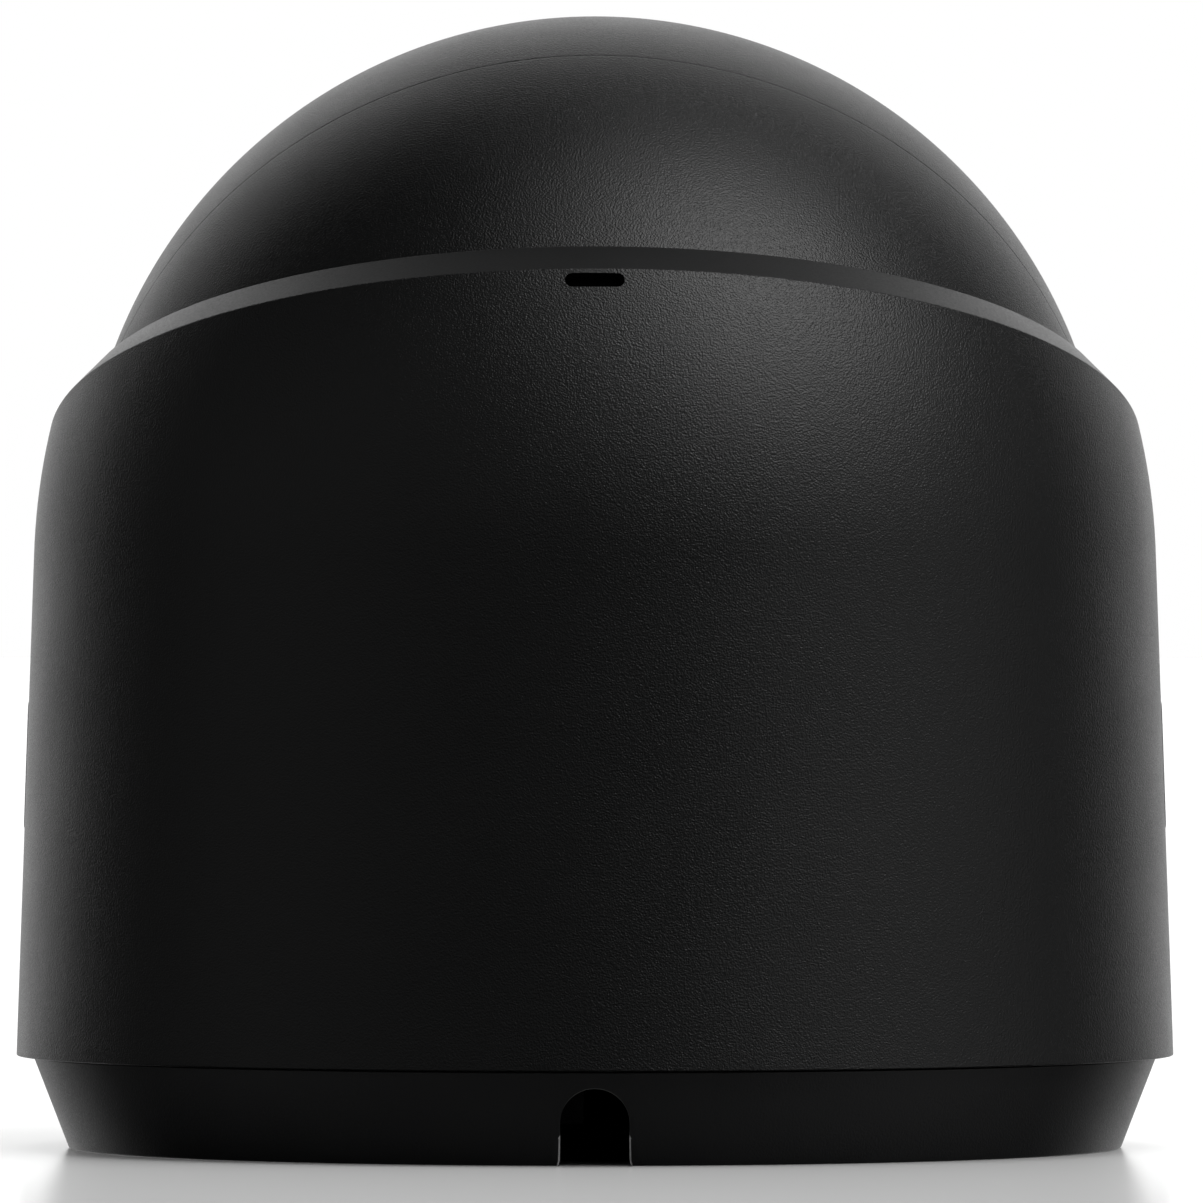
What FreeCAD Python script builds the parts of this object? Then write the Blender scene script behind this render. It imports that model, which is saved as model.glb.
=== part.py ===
import FreeCAD, Part
import math
import os

# Ball-type security camera, lens towards +Y, back towards -Y, standing on its mounting base.
# Millimetres, +Z up, origin at the centre of the base's underside.

# ---- driving dimensions -------------------------------------------------------------------------

BALL_RADIUS = 46.24
BALL_HEIGHT = 55.5          # ball centre above the mounting face
LENS_ELEVATION = 24.5       # degrees that the lens looks up at rest
SHELL_WALL = 2.24
SEAM_GAP = 0.08

HOUSING_BOTTOM = 8.33
HOUSING_RADIUS = 52.03      # at its bottom edge
HOUSING_DRAFT = 2.0         # degrees that the wall leans in
SHOULDER_HEIGHT = 53.6      # where the straight wall turns into the shoulder
SHOULDER_RADIUS = 57.5
HOUSING_WALL = 2.1
RIM_TILT = 16.58            # degrees that the rim leans forward
RIM_RADIUS = 45.93          # rim crest
RIM_ABOVE_BALL = 12.07      # rim plane above the ball's centre
CHAMFER_SLOPE = 0.913       # outwards per millimetre down
SOCKET_RADIUS = math.hypot(RIM_RADIUS, RIM_ABOVE_BALL)

SLOT_WIDTH = 5.2
SLOT_HEIGHT = 1.18
SLOT_AT = 77.13
POCKET_RADIUS = 48.52       # outer face of the pocket behind the slot, from the ball's centre
POCKET_HALF_WIDTH = 3.4
POCKET_HALF_HEIGHT = 1.1    # leaves the wall whole between the pocket and the chamfer
MICROPHONE_LAYER = (47.6, 48.15)    # inner and outer radii in the pocket
MESH_LAYER = (48.2, 48.48)
BADGE_LENGTH = 11.4
BADGE_WIDTH = 3.0
BADGE_DEPTH = 0.5
BADGE_AT = 34.4

BASE_HEIGHT = 8.23
BASE_FLOOR = 2.5
BASE_FOOT_RADIUS = 47.3
BASE_TOP_RADIUS = 50.5
BASE_EDGE = 0.6
HUB_RADIUS = 47.3
HUB_BORE = 44.6
HUB_HEIGHT = 12.0
CABLE_HOLE_RADIUS = 12.0
GASKET_INNER = 40.5
GASKET_OUTER = 43.5
GASKET_HEIGHT = 1.0
WALL_SCREW_CIRCLE = 30.0
WALL_SCREW_RADIUS = 2.25
NOTCH_HALF = 3.0
NOTCH_TOP = 6.8

RUNNING = 0.05              # radial clearance of what turns or slides
RETAINER_RADIUS = 48.8
RETAINER_TOP = 13.2
RETAINER_CIRCLE = 46.2      # circle of the retainer's screws
RETAINER_SHANK = 0.9
RETAINER_HEAD = 1.5
RETAINER_HEAD_HEIGHT = 0.7
RETAINER_SCREW_LOW = 6.0
PAN_RING_LOW = 8.5
PAN_RING_TOP = 11.7
PAN_RING_RADIUS = 49.7
CHASSIS_LOW = 13.6
CHASSIS_TOP = 15.6
CHASSIS_RADIUS = 49.5
CHASSIS_BORE = 36.0
CHASSIS_SHANK = 1.0
CHASSIS_HEAD = 2.0
CHASSIS_HEAD_HEIGHT = 1.2
POST_CIRCLE = 46.9
POST_RADIUS = 2.9
POST_TOP = 34.0
CAVITY_TURN = (48.96, 36.0)  # radius and height where the cavity starts to close in
CAVITY_TOP = (46.0, 44.0)
BOARD_LOW = 16.4
BOARD_TOP = 18.0
BOARD_SCREW_X = 23.0
BOARD_SCREW_Y = -36.0
BOARD_SHANK = 0.85
BOARD_HEAD = 1.6
BOARD_HEAD_HEIGHT = 1.2
JACK_WAY = 20.5             # half the width that the chassis leaves free for the jack
SEAT_LOW = 23.0
SEAT_TOP = 27.0
SEAT_RADIUS = 38.0
BALL_BEARING = BALL_RADIUS + RUNNING
RING_OUTER = SOCKET_RADIUS - 0.1

JACK = (-19.0, -1.0, -39.5, -27.0, 3.4, 16.4)       # low and high x, y, z
SOCKET_DEPTH = 14.5
CONTACTS = 8
CONTACT_PITCH = 1.02
RESET_X = 5.0
RESET_Y = -41.8
RESET_TRAVEL = 0.4
RESET_RADIUS = 0.9
RESET_TIP = 12.4
RESET_CEILING = 15.6        # inside of the switch, above the button

HARNESS_RADIUS = 1.25
HARNESS_BEND = 3.0
GROMMET_RADIUS = 4.0
GLIDE_BAND = (1.0, 8.0)     # heights above the ball's centre, along the rim's normal
WIPER_BAND = (8.7, 11.2)
WIPER_GAP = 0.07

ROLL_BORE = 42.4
ROLL_LAND = 4.0             # length of each shell's land beside the seam
ROLL_FLANGE = 43.2
ROLL_INNER = 40.0
SNAP_GROOVE_RADIUS = 41.6
SNAP_GROOVE = (-5.0, -4.1)  # back and front of the snap ring's groove

WINDOW_RADIUS = 18.1
WINDOW_FACE = 41.8          # distances below are along the lens axis from the ball's centre
WINDOW_BACK = 40.6
GASKET_BACK = 39.8
LEDGE_BACK = 38.2
LEDGE_BORE = 16.2
NOSE_FACE = 41.94
LED_BOARD_FRONT = 36.4
LED_BOARD_BACK = 35.2
HEAT_SINK_BACK = 33.0
SENSOR_BOARD_FRONT = 10.0
SENSOR_BOARD_BACK = 8.4
MAIN_BOARD_FRONT = 3.6
MAIN_BOARD_BACK = 2.0
MAIN_BOARD_RADIUS = 34.0
SENSOR_BOARD_HALF = 20.0
COLUMN = 17.0               # the four columns stand at plus and minus this in both directions
COLUMN_RADIUS = 2.6
COLUMN_BORE = 1.35
SINK_RADIUS = 26.0
SINK_CIRCLE = 22.0          # circle of the screws that hold the heat sink to the front shell
LED_CIRCLE = 12.9
LED_HALF = 1.6
BAFFLE_INNER = 8.0
BAFFLE_OUTER = 9.4
LENS_THREAD = 6.0
LENS_BORE = 4.5
LENS_HEAD = 7.6
LENS_HEAD_BACK = 34.0
HOLDER_FRONT = 16.0
FILTER_TRAVEL = 7.0
FILTER_BACK = 12.3
FILTER_FRONT = 13.1
FILTER_GLASS = 3.15

# ---- helpers ------------------------------------------------------------------------------------


def vec(x, y, z):
    return FreeCAD.Vector(x, y, z)


def disc(radius, low, high, x=0.0, y=0.0):
    return Part.makeCylinder(radius, high - low, vec(x, y, low))


def ring(inner, outer, low, high, x=0.0, y=0.0):
    return disc(outer, low, high, x, y).cut(disc(inner, low - 1, high + 1, x, y))


def block(x_low, x_high, y_low, y_high, z_low, z_high):
    return Part.makeBox(x_high - x_low, y_high - y_low, z_high - z_low, vec(x_low, y_low, z_low))


def spun(points):
    """Turns an outline of (r, z) points about Z.

    A point with a third value, a centre (r, z), is reached by an arc about that centre.
    """
    edges = []
    for start, end in zip(points, points[1:] + points[:1]):
        a = vec(start[0], 0, start[1])
        b = vec(end[0], 0, end[1])
        if len(end) == 3:
            centre = vec(end[2][0], 0, end[2][1])
            half_way = (a - centre) + (b - centre)
            half_way.normalize()
            middle = centre + half_way * (a - centre).Length
            edges.append(Part.Arc(a, middle, b).toShape())
        else:
            edges.append(Part.LineSegment(a, b).toShape())
    face = Part.Face(Part.Wire(edges))
    return face.revolve(vec(0, 0, 0), vec(0, 0, 1), 360)


def on_sphere(radius, height):
    """Radius of a sphere's slice at a height above its centre."""
    return math.sqrt(radius * radius - height * height)


def ball_band(inner, outer, low, high):
    """Band between two spheres about the origin, cut off at two heights."""
    centre = (0, 0)
    return spun([
        (on_sphere(inner, low), low, centre),
        (on_sphere(outer, low), low),
        (on_sphere(outer, high), high, centre),
        (on_sphere(inner, high), high),
    ])


def tipped(shape, angle):
    """Places a shape made about the ball's centre, leaning its own Z towards +Y."""
    placed = shape.copy()
    placed.rotate(vec(0, 0, 0), vec(1, 0, 0), -angle)
    placed.translate(vec(0, 0, BALL_HEIGHT))
    return placed


def in_ball(shape):
    """Places a shape whose Z is the lens axis."""
    return tipped(shape, 90 - LENS_ELEVATION)


def fused(shapes):
    whole = shapes[0]
    for shape in shapes[1:]:
        whole = whole.fuse(shape)
    return whole.removeSplitter()


def cut_all(shape, tools):
    for tool in tools:
        shape = shape.cut(tool)
    return shape


def polar(radius, degrees):
    angle = math.radians(degrees)
    return radius * math.cos(angle), radius * math.sin(angle)


def around(count, radius, first=0.0):
    """Places evenly spaced on a circle."""
    return [polar(radius, first + 360 * i / count) for i in range(count)]


def corners(distance):
    return [(x, y) for x in (-distance, distance) for y in (-distance, distance)]


def screw_up(x, y, low, head_height, top, head_radius, shank_radius):
    """Screw that points up, with a round socket in its head."""
    head = disc(head_radius, low, low + head_height, x, y)
    shank = disc(shank_radius, low + head_height, top, x, y)
    socket = disc(head_radius * 0.45, low - 1, low + head_height * 0.55, x, y)
    return fused([head, shank]).cut(socket)


def screw_down(x, y, top, head_height, low, head_radius, shank_radius):
    """Screw that points down, with a round socket in its head."""
    head = disc(head_radius, top - head_height, top, x, y)
    shank = disc(shank_radius, low, top - head_height, x, y)
    socket = disc(head_radius * 0.45, top - head_height * 0.55, top + 1, x, y)
    return fused([head, shank]).cut(socket)


def group(shapes):
    return Part.makeCompound(shapes)


# ---- mounting base ------------------------------------------------------------------------------


def cable_notch():
    """Arch through the back of the base, from outside into the cavity."""
    round_height = NOTCH_TOP - NOTCH_HALF
    outside = -BASE_TOP_RADIUS - 1.5
    inside = 7 - HUB_BORE
    arch = Part.makeCylinder(NOTCH_HALF, inside - outside, vec(0, outside, round_height), vec(0, 1, 0))
    legs = block(-NOTCH_HALF, NOTCH_HALF, outside, inside, -1, round_height)
    return fused([arch, legs])


def base_plate():
    body = spun([
        (0, 0),
        (BASE_FOOT_RADIUS, 0),
        (BASE_FOOT_RADIUS + 0.35, BASE_EDGE),
        (BASE_TOP_RADIUS, BASE_HEIGHT),
        (HUB_RADIUS, BASE_HEIGHT),
        (HUB_RADIUS, HUB_HEIGHT),
        (HUB_BORE, HUB_HEIGHT),
        (HUB_BORE, BASE_FLOOR),
        (0, BASE_FLOOR),
    ])
    holes = [disc(CABLE_HOLE_RADIUS, -1, BASE_FLOOR + 1)]
    for x, y in around(4, WALL_SCREW_CIRCLE, 45):
        holes.append(disc(WALL_SCREW_RADIUS, -1, BASE_FLOOR + 1, x, y))
    for x, y in around(4, RETAINER_CIRCLE, 45):
        holes.append(disc(RETAINER_SHANK, RETAINER_SCREW_LOW, HUB_HEIGHT + 1, x, y))
    holes.append(ring(GASKET_INNER, GASKET_OUTER, -1, GASKET_HEIGHT))
    holes.append(cable_notch())
    return cut_all(body, holes)


def mounting_gasket():
    return ring(GASKET_INNER, GASKET_OUTER, 0, GASKET_HEIGHT).cut(cable_notch())


def pan_retainer():
    body = ring(HUB_BORE, RETAINER_RADIUS, HUB_HEIGHT, RETAINER_TOP)
    holes = []
    for x, y in around(4, RETAINER_CIRCLE, 45):
        holes.append(disc(RETAINER_SHANK, HUB_HEIGHT - 1, RETAINER_TOP + 1, x, y))
        holes.append(disc(RETAINER_HEAD, RETAINER_TOP - RETAINER_HEAD_HEIGHT, RETAINER_TOP + 1, x, y))
    return cut_all(body, holes)


def pan_retainer_screws():
    screws = []
    for x, y in around(4, RETAINER_CIRCLE, 45):
        screws.append(screw_down(
            x, y, RETAINER_TOP, RETAINER_HEAD_HEIGHT, RETAINER_SCREW_LOW, RETAINER_HEAD, RETAINER_SHANK
        ))
    return group(screws)


# ---- housing ------------------------------------------------------------------------------------


def housing_body(inset=0.0):
    """Drafted wall with a rounded shoulder, cut off by the rim's tilted chamfer."""
    lean = math.radians(HOUSING_DRAFT)
    turn_radius = HOUSING_RADIUS - (SHOULDER_HEIGHT - HOUSING_BOTTOM) * math.tan(lean)
    centre = (
        turn_radius - SHOULDER_RADIUS * math.cos(lean),
        SHOULDER_HEIGHT - SHOULDER_RADIUS * math.sin(lean),
    )
    top = BALL_HEIGHT + 30
    top_radius = centre[0] + math.sqrt((SHOULDER_RADIUS - inset) ** 2 - (top - centre[1]) ** 2)
    wall = spun([
        (0, HOUSING_BOTTOM),
        (HOUSING_RADIUS - inset, HOUSING_BOTTOM),
        (turn_radius - inset * math.cos(lean), SHOULDER_HEIGHT - inset * math.sin(lean)),
        (top_radius, top, centre),
        (0, top),
    ])
    reach = 80
    chamfer = Part.makeCone(
        RIM_RADIUS + CHAMFER_SLOPE * reach, RIM_RADIUS, reach, vec(0, 0, RIM_ABOVE_BALL - reach)
    )
    return wall.common(tipped(chamfer, RIM_TILT))


def pill_through_x(half_width, half_length):
    """Upright pill along X, round at both ends, through both sides of the housing."""
    straight = half_length - half_width
    solids = [block(-60, 60, -half_width, half_width, BADGE_AT - straight, BADGE_AT + straight)]
    for height in (BADGE_AT - straight, BADGE_AT + straight):
        solids.append(Part.makeCylinder(half_width, 120, vec(-60, 0, height), vec(1, 0, 0)))
    return fused(solids)


def badge_skin():
    return housing_body().cut(housing_body(BADGE_DEPTH))


def rear_slot():
    straight = (SLOT_WIDTH - SLOT_HEIGHT) / 2
    half = SLOT_HEIGHT / 2
    solids = [block(-straight, straight, -50, -38, SLOT_AT - half, SLOT_AT + half)]
    for x in (-straight, straight):
        solids.append(Part.makeCylinder(half, 12, vec(x, -50, SLOT_AT), vec(0, 1, 0)))
    return fused(solids)


def behind_slot(inner, outer, half_width, half_height):
    """Plate that follows the ball, centred behind the slot."""
    shell = Part.makeSphere(outer).cut(Part.makeSphere(inner))
    shell.translate(vec(0, 0, BALL_HEIGHT))
    return shell.common(
        block(-half_width, half_width, -50, -30, SLOT_AT - half_height, SLOT_AT + half_height)
    )


def slot_pocket():
    return behind_slot(SOCKET_RADIUS - 1, POCKET_RADIUS, POCKET_HALF_WIDTH, POCKET_HALF_HEIGHT)


def outer_housing():
    cavity = spun([
        (0, HOUSING_BOTTOM - 1),
        (HOUSING_RADIUS - HOUSING_WALL, HOUSING_BOTTOM - 1),
        CAVITY_TURN,
        CAVITY_TOP,
        (0, CAVITY_TOP[1]),
    ])
    socket = Part.makeSphere(SOCKET_RADIUS)
    socket.translate(vec(0, 0, BALL_HEIGHT))
    body = housing_body().cut(cavity)
    posts = [disc(POST_RADIUS, CHASSIS_TOP + 0.05, POST_TOP, x, y) for x, y in around(4, POST_CIRCLE, 45)]
    body = fused([body] + posts)
    tools = [socket, rear_slot(), slot_pocket()]
    for x, y in around(4, POST_CIRCLE, 45):
        tools.append(disc(CHASSIS_SHANK, CHASSIS_TOP - 1, 25, x, y))
    tools.append(pill_through_x(BADGE_WIDTH / 2 + 0.04, BADGE_LENGTH / 2 + 0.04).common(badge_skin()))
    return cut_all(body, tools)


def side_badges():
    both = pill_through_x(BADGE_WIDTH / 2, BADGE_LENGTH / 2).common(badge_skin())
    return group(both.Solids)


def microphone():
    return behind_slot(*MICROPHONE_LAYER, POCKET_HALF_WIDTH - 0.4, POCKET_HALF_HEIGHT - 0.2)


def microphone_mesh():
    return behind_slot(*MESH_LAYER, POCKET_HALF_WIDTH - 0.1, POCKET_HALF_HEIGHT - 0.1)


def pan_ring():
    return ring(HUB_RADIUS + RUNNING, PAN_RING_RADIUS, PAN_RING_LOW, PAN_RING_TOP)


def chassis():
    floor = ring(CHASSIS_BORE, CHASSIS_RADIUS, CHASSIS_LOW, CHASSIS_TOP)
    upstand = ring(CHASSIS_BORE, SEAT_RADIUS, CHASSIS_TOP - 0.5, SEAT_LOW)
    screw_places = (-BOARD_SCREW_X, BOARD_SCREW_X)
    pads = [disc(2.2, CHASSIS_TOP - 0.5, BOARD_LOW, x, BOARD_SCREW_Y) for x in screw_places]
    above_board = block(-26.5, 26.5, -45, -20, BOARD_LOW, SEAT_LOW + 1)
    above_jack = block(-JACK_WAY, JACK_WAY, -50, -24, CHASSIS_TOP, SEAT_LOW + 1)
    below_jack = block(-JACK_WAY, JACK_WAY, -50, -24, CHASSIS_LOW - 1, CHASSIS_TOP + 0.1)
    tools = [above_board, above_jack, below_jack.common(disc(HUB_BORE - 0.1, 0, 30))]
    for x, y in around(4, POST_CIRCLE, 45):
        tools.append(disc(CHASSIS_SHANK + 0.1, CHASSIS_LOW - 1, CHASSIS_TOP + 1, x, y))
        head_top = CHASSIS_LOW + CHASSIS_HEAD_HEIGHT + RUNNING
        tools.append(disc(CHASSIS_HEAD + RUNNING, CHASSIS_LOW - 1, head_top, x, y))
    for x in screw_places:
        tools.append(disc(BOARD_SHANK, CHASSIS_LOW - 1, BOARD_LOW + 1, x, BOARD_SCREW_Y))
    return cut_all(fused([floor, upstand] + pads), tools)


def chassis_screws():
    screws = []
    for x, y in around(4, POST_CIRCLE, 45):
        screws.append(screw_up(
            x, y, CHASSIS_LOW + RUNNING, CHASSIS_HEAD_HEIGHT, 24, CHASSIS_HEAD, CHASSIS_SHANK
        ))
    return group(screws)


def lower_seat_ring():
    low = SEAT_LOW - BALL_HEIGHT
    high = SEAT_TOP - BALL_HEIGHT
    seat = spun([
        (on_sphere(BALL_BEARING, low), low, (0, 0)),
        (SEAT_RADIUS, low),
        (SEAT_RADIUS, high),
        (on_sphere(BALL_BEARING, high), high),
    ])
    seat.translate(vec(0, 0, BALL_HEIGHT))
    return seat.cut(block(-7, 7, -50, -20, SEAT_LOW - 1, SEAT_TOP + 1))


def upper_glide_ring():
    return tipped(ball_band(BALL_BEARING, RING_OUTER, *GLIDE_BAND), RIM_TILT)


def wiper_seal():
    return tipped(ball_band(BALL_RADIUS + WIPER_GAP, RING_OUTER, *WIPER_BAND), RIM_TILT)


def port_board():
    board = block(-25.5, 25.5, -47.5, -31, BOARD_LOW, BOARD_TOP).common(disc(48.6, 0, 30))
    holes = []
    for x in (-BOARD_SCREW_X, BOARD_SCREW_X):
        holes.append(disc(BOARD_SHANK + RUNNING, BOARD_LOW - 1, BOARD_TOP + 1, x, BOARD_SCREW_Y))
    return cut_all(board, holes)


def port_board_screws():
    top = BOARD_TOP + BOARD_HEAD_HEIGHT
    screws = []
    for x in (-BOARD_SCREW_X, BOARD_SCREW_X):
        screws.append(screw_down(x, BOARD_SCREW_Y, top, BOARD_HEAD_HEIGHT, 14, BOARD_HEAD, BOARD_SHANK))
    return group(screws)


def network_jack():
    x_high, y_low = JACK[1:3]
    z_low, z_high = JACK[4:6]
    body = block(*JACK)
    mouth = x_high - SOCKET_DEPTH
    socket = block(mouth, x_high + 1, y_low + 1.8, y_low + 8.6, z_low + 0.55, z_high - 0.55)
    latch_way = block(mouth + 4, x_high + 1, y_low + 8.5, y_low + 10.8, z_low + 3.5, z_high - 3.5)
    contact_bed = block(mouth + 0.5, x_high - 4, y_low + 1.2, y_low + 1.9, z_low + 1.6, z_high - 1.6)
    return cut_all(body, [socket, latch_way, contact_bed])


def jack_contacts():
    x_high, y_low = JACK[1:3]
    middle = (JACK[4] + JACK[5]) / 2
    deep = x_high - SOCKET_DEPTH + 0.7
    half_width = 0.25
    strips = []
    for i in range(CONTACTS):
        z = middle + (i - (CONTACTS - 1) / 2) * CONTACT_PITCH
        strips.append(block(deep, x_high - 4.2, y_low + 1.25, y_low + 2.2, z - half_width, z + half_width))
    return group(strips)


def reset_switch():
    body = block(RESET_X - 2.2, RESET_X + 2.2, -43.6, -39.9, 13.9, BOARD_LOW)
    return body.cut(disc(RESET_RADIUS + RUNNING, 13, RESET_CEILING, RESET_X, RESET_Y))


def reset_button():
    top = RESET_CEILING - RESET_TRAVEL - 0.1
    stem = disc(RESET_RADIUS, RESET_TIP, top, RESET_X, RESET_Y)
    tip_edges = [edge for edge in stem.Edges if abs(edge.BoundBox.ZMax - RESET_TIP) < 0.01]
    return stem.makeChamfer(0.15, tip_edges)


def harness_route():
    """Centre line from inside the grommet, round the ball's back, down to the port board."""
    angle = math.radians(LENS_ELEVATION)
    along = vec(0, -math.cos(angle), -math.sin(angle))
    inward = vec(0, math.sin(angle), -math.cos(angle))
    ball = vec(0, 0, BALL_HEIGHT)
    start = ball + along * 43.6
    bend = ball + along * (BALL_RADIUS + 0.4)
    centre = bend + inward * HARNESS_BEND
    end = centre + vec(0, -HARNESS_BEND, 0)
    half_way = (bend - centre) + (end - centre)
    half_way.normalize()
    middle = centre + half_way * HARNESS_BEND
    foot = vec(0, end.y, BOARD_TOP + 1.2)
    return start, bend, middle, end, foot


def outer_harness():
    start, bend, middle, end, foot = harness_route()
    path = Part.Wire([
        Part.LineSegment(start, bend).toShape(),
        Part.Arc(bend, middle, end).toShape(),
        Part.LineSegment(end, foot).toShape(),
    ])
    along = bend - start
    circle = Part.Wire(Part.makeCircle(HARNESS_RADIUS, start, along))
    return path.makePipeShell([circle], True, True)


def harness_connector():
    foot = harness_route()[4]
    body = block(-4, 4, foot.y - 1.7, foot.y + 1.7, BOARD_TOP, BOARD_TOP + 3)
    return body.cut(disc(HARNESS_RADIUS + RUNNING, foot.z, BOARD_TOP + 4, 0, foot.y))


# ---- ball, made along the lens axis -------------------------------------------------------------


def rear_shell():
    inner = BALL_RADIUS - SHELL_WALL
    edge = -SEAM_GAP / 2
    shell = spun([
        (on_sphere(BALL_RADIUS, edge), edge, (0, 0)),
        (ROLL_BORE, edge),
        (ROLL_BORE, -ROLL_LAND),
        (on_sphere(inner, ROLL_LAND), -ROLL_LAND),
        (0, -inner, (0, 0)),
        (0, -BALL_RADIUS),
    ])
    return in_ball(shell.cut(disc(GROMMET_RADIUS, -BALL_RADIUS - 1, 2 - inner)))


def front_shell():
    inner = BALL_RADIUS - SHELL_WALL
    edge = SEAM_GAP / 2
    shell = spun([
        (on_sphere(BALL_RADIUS, NOSE_FACE), NOSE_FACE, (0, 0)),
        (WINDOW_RADIUS + 0.1, NOSE_FACE),
        (WINDOW_RADIUS + 0.1, GASKET_BACK),
        (LEDGE_BORE, GASKET_BACK),
        (LEDGE_BORE, LEDGE_BACK),
        (on_sphere(inner, LEDGE_BACK), LEDGE_BACK),
        (on_sphere(inner, ROLL_LAND), ROLL_LAND, (0, 0)),
        (ROLL_BORE, ROLL_LAND),
        (ROLL_BORE, edge),
        (on_sphere(BALL_RADIUS, edge), edge),
    ])
    bosses = []
    holes = []
    for x, y in around(3, SINK_CIRCLE, 90):
        bosses.append(disc(2.2, LED_BOARD_BACK + 0.05, 38.8, x, y))
        holes.append(disc(1.0, LED_BOARD_BACK - 1, 38.2, x, y))
    return in_ball(cut_all(fused([shell] + bosses), holes))


def roll_ring():
    """Sleeve that the front shell turns on, with a flange in front and a snap ring's groove behind."""
    flange = ROLL_LAND + 0.3
    sleeve = ring(ROLL_INNER, ROLL_BORE - RUNNING, -5.6, flange + 0.6)
    lip = ring(ROLL_INNER, ROLL_FLANGE, flange, flange + 1.2)
    groove = ring(SNAP_GROOVE_RADIUS, ROLL_BORE + 1, *SNAP_GROOVE)
    return in_ball(fused([sleeve, lip]).cut(groove))


def roll_snap_ring():
    back, front = SNAP_GROOVE
    clip = ring(SNAP_GROOVE_RADIUS + RUNNING, 43.3, back + RUNNING, front - RUNNING)
    gap = block(-2, 2, ROLL_INNER, 44, back - 1, front + 1)
    return in_ball(clip.cut(gap))


def grommet():
    neck = disc(GROMMET_RADIUS - 0.05, -46.0, -43.5)
    flange = disc(5.5, -43.5, -42.4)
    return in_ball(fused([neck, flange]).cut(disc(2.0, -47, -42)))


def front_window():
    return in_ball(disc(WINDOW_RADIUS, WINDOW_BACK, WINDOW_FACE))


def window_gasket():
    return in_ball(ring(LEDGE_BORE, WINDOW_RADIUS, GASKET_BACK, WINDOW_BACK))


def glass(radius, low, high, bulge, two_sided=True):
    """Lens with an edge from low to high, bulging in front and, if two-sided, behind."""
    arc_radius = (radius * radius + bulge * bulge) / (2 * bulge)
    front_centre = (0, high + bulge - arc_radius)
    back = low - bulge if two_sided else low
    points = [(0, back), (radius, low), (radius, high), (0, high + bulge, front_centre)]
    if two_sided:
        points[1] = (radius, low, (0, back + arc_radius))
    return spun(points)


def lens_barrel():
    thread = ring(LENS_BORE, LENS_THREAD, 17, LENS_HEAD_BACK + 0.5)
    head = ring(6.2, LENS_HEAD, LENS_HEAD_BACK, 39.6)
    step = ring(LENS_BORE, LENS_HEAD, LENS_HEAD_BACK, 35.4)
    return in_ball(fused([thread, head, step]))


def front_lens():
    return in_ball(glass(6.15, 35.45, 37.6, 1.7, False))


def inner_lenses():
    backs = (19, 23.5, 28, 32)
    return group([in_ball(glass(LENS_BORE - 0.05, low, low + 1.2, 0.7)) for low in backs])


def lens_holder():
    foot = block(-14, 14, -10, 10, SENSOR_BOARD_FRONT, HOLDER_FRONT)
    neck = disc(9, HOLDER_FRONT - 0.5, 25)
    thread = disc(LENS_THREAD + 0.03, 14, 26)
    light_way = disc(LENS_BORE, 13, 15)
    filter_way = block(-12.2, 12.2, -5.2, 5.2, FILTER_BACK - 0.2, FILTER_FRONT + 0.2)
    sensor_room = block(-6, 6, -5, 5, SENSOR_BOARD_FRONT - 1, FILTER_BACK - 0.1)
    return in_ball(cut_all(fused([foot, neck]), [thread, light_way, filter_way, sensor_room]))


def filter_frame():
    frame = block(-11.5, 4.5, -5, 5, FILTER_BACK, FILTER_FRONT)
    holes = [disc(FILTER_GLASS + RUNNING, 12, 14, x, 0) for x in (0, -FILTER_TRAVEL)]
    return in_ball(cut_all(frame, holes))


def filter_glasses():
    low = FILTER_BACK + 0.1
    high = FILTER_FRONT - 0.1
    return group([in_ball(disc(FILTER_GLASS, low, high, x, 0)) for x in (0, -FILTER_TRAVEL)])


def filter_coil():
    return in_ball(block(-5, 5, 10.1, 14.9, SENSOR_BOARD_FRONT, 17))


def image_sensor():
    return in_ball(block(-4.5, 4.5, -3.75, 3.75, SENSOR_BOARD_FRONT, 11.4))


def column_holes(low, high):
    return [disc(COLUMN_BORE, low, high, x, y) for x, y in corners(COLUMN)]


def sensor_board():
    half = SENSOR_BOARD_HALF
    board = block(-half, half, -half, half, SENSOR_BOARD_BACK, SENSOR_BOARD_FRONT)
    return in_ball(cut_all(board, column_holes(8, 11)))


def main_board():
    board = disc(MAIN_BOARD_RADIUS, MAIN_BOARD_BACK, MAIN_BOARD_FRONT)
    return in_ball(cut_all(board, column_holes(1, 4)))


def processor():
    return in_ball(block(-8, 8, -8, 8, MAIN_BOARD_FRONT, 5.2))


def memory_chips():
    return group([in_ball(block(-5, 5, y - 3.5, y + 3.5, MAIN_BOARD_FRONT, 4.8)) for y in (-15, 15)])


def main_connector():
    return in_ball(block(-5, 5, -2.5, 2.5, 0.4, MAIN_BOARD_BACK))


def inner_harness():
    return in_ball(disc(1.5, -43.3, 0.4))


def rear_standoffs():
    sleeves = []
    for x, y in corners(COLUMN):
        sleeves.append(in_ball(ring(COLUMN_BORE, COLUMN_RADIUS, MAIN_BOARD_FRONT, SENSOR_BOARD_BACK, x, y)))
    return group(sleeves)


def front_standoffs():
    columns = []
    for x, y in corners(COLUMN):
        post = disc(COLUMN_RADIUS, SENSOR_BOARD_FRONT, HEAT_SINK_BACK, x, y)
        pin = disc(1.4, HEAT_SINK_BACK - 1, 34.8, x, y)
        screw_hole = disc(COLUMN_BORE, SENSOR_BOARD_FRONT - 1, 15, x, y)
        columns.append(in_ball(fused([post, pin]).cut(screw_hole)))
    return group(columns)


def board_screws():
    return group([in_ball(screw_up(x, y, 0.6, 1.4, 14, 2.4, 1.3)) for x, y in corners(COLUMN)])


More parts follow.
